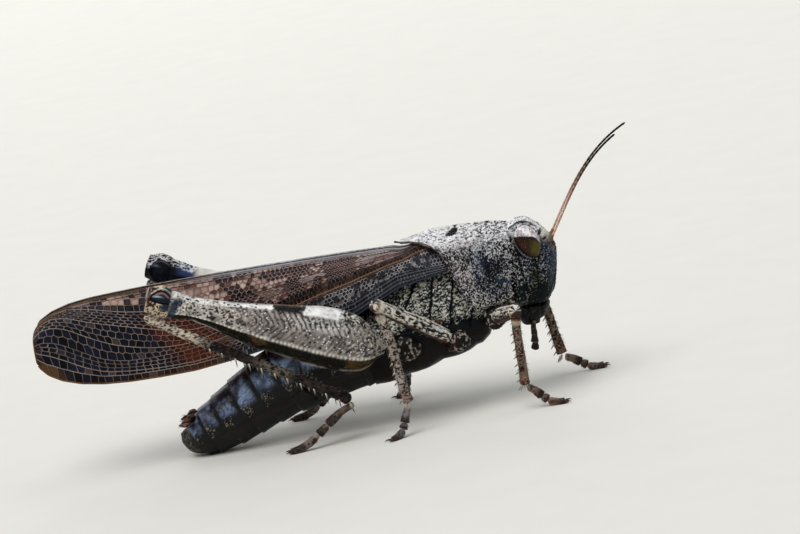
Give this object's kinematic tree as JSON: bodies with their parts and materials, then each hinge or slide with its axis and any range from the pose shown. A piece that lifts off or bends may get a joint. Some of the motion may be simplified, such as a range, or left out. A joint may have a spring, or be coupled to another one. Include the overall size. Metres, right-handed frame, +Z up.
{
  "type": "rattle grasshopper (band-winged locust), still life-size model",
  "caption": "Standing adult male band-winged grasshopper with folded wings, saddle-like pronotum, raised hind knees and forward feelers; rests on its feet and abdomen.",
  "frame": {"origin": "on the floor under the middle of the bounding box", "axes": "+X towards the head, +Y towards the animal's left, +Z up from the floor"},
  "size_m": [0.0332, 0.0112, 0.0135],
  "materials": {
    "armour": "granular grey cuticle, speckled black and pale",
    "dark_armour": "glossy blue-black cuticle with pale flecks",
    "forewing": "brown-grey leathery membrane with pale veins, smoky at the tip",
    "hindwing": "red folded membrane, smoky at the tip",
    "leg": "grey cuticle banded black and cream",
    "eye": "polished, pale and speckled above, dark brown below",
    "feeler": "salmon at the base, black-brown at the tip"
  },
  "bodies": {
    "root": {"abdomen_end": "dark_armour", "abdomen_front": "dark_armour", "abdomen_middle": "dark_armour", "antenna_left": "feeler", "antenna_right": "feeler", "cercus_left": "dark_armour", "cercus_right": "dark_armour", "coxa_fore_left": "leg", "coxa_fore_right": "leg", "coxa_hind_left": "leg", "coxa_hind_right": "leg", "coxa_middle_left": "leg", "coxa_middle_right": "leg", "eye_left": "eye", "eye_right": "eye", "femur_fore_left": "leg", "femur_fore_right": "leg", "femur_hind_left": "leg", "femur_hind_right": "leg", "femur_middle_left": "leg", "femur_middle_right": "leg", "forewing_left": "forewing", "forewing_right": "forewing", "head": "armour", "hindwing_left": "hindwing", "hindwing_right": "hindwing", "mouthparts": "dark_armour", "palp_left": "dark_armour", "palp_right": "dark_armour", "pronotum": "armour", "tarsus_fore_left": "leg", "tarsus_fore_right": "leg", "tarsus_hind_left": "leg", "tarsus_hind_right": "leg", "tarsus_middle_left": "leg", "tarsus_middle_right": "leg", "thorax": "dark_armour", "tibia_fore_left": "leg", "tibia_fore_right": "leg", "tibia_hind_left": "leg", "tibia_hind_right": "leg", "tibia_middle_left": "leg", "tibia_middle_right": "leg"}
  },
  "joints": []
}
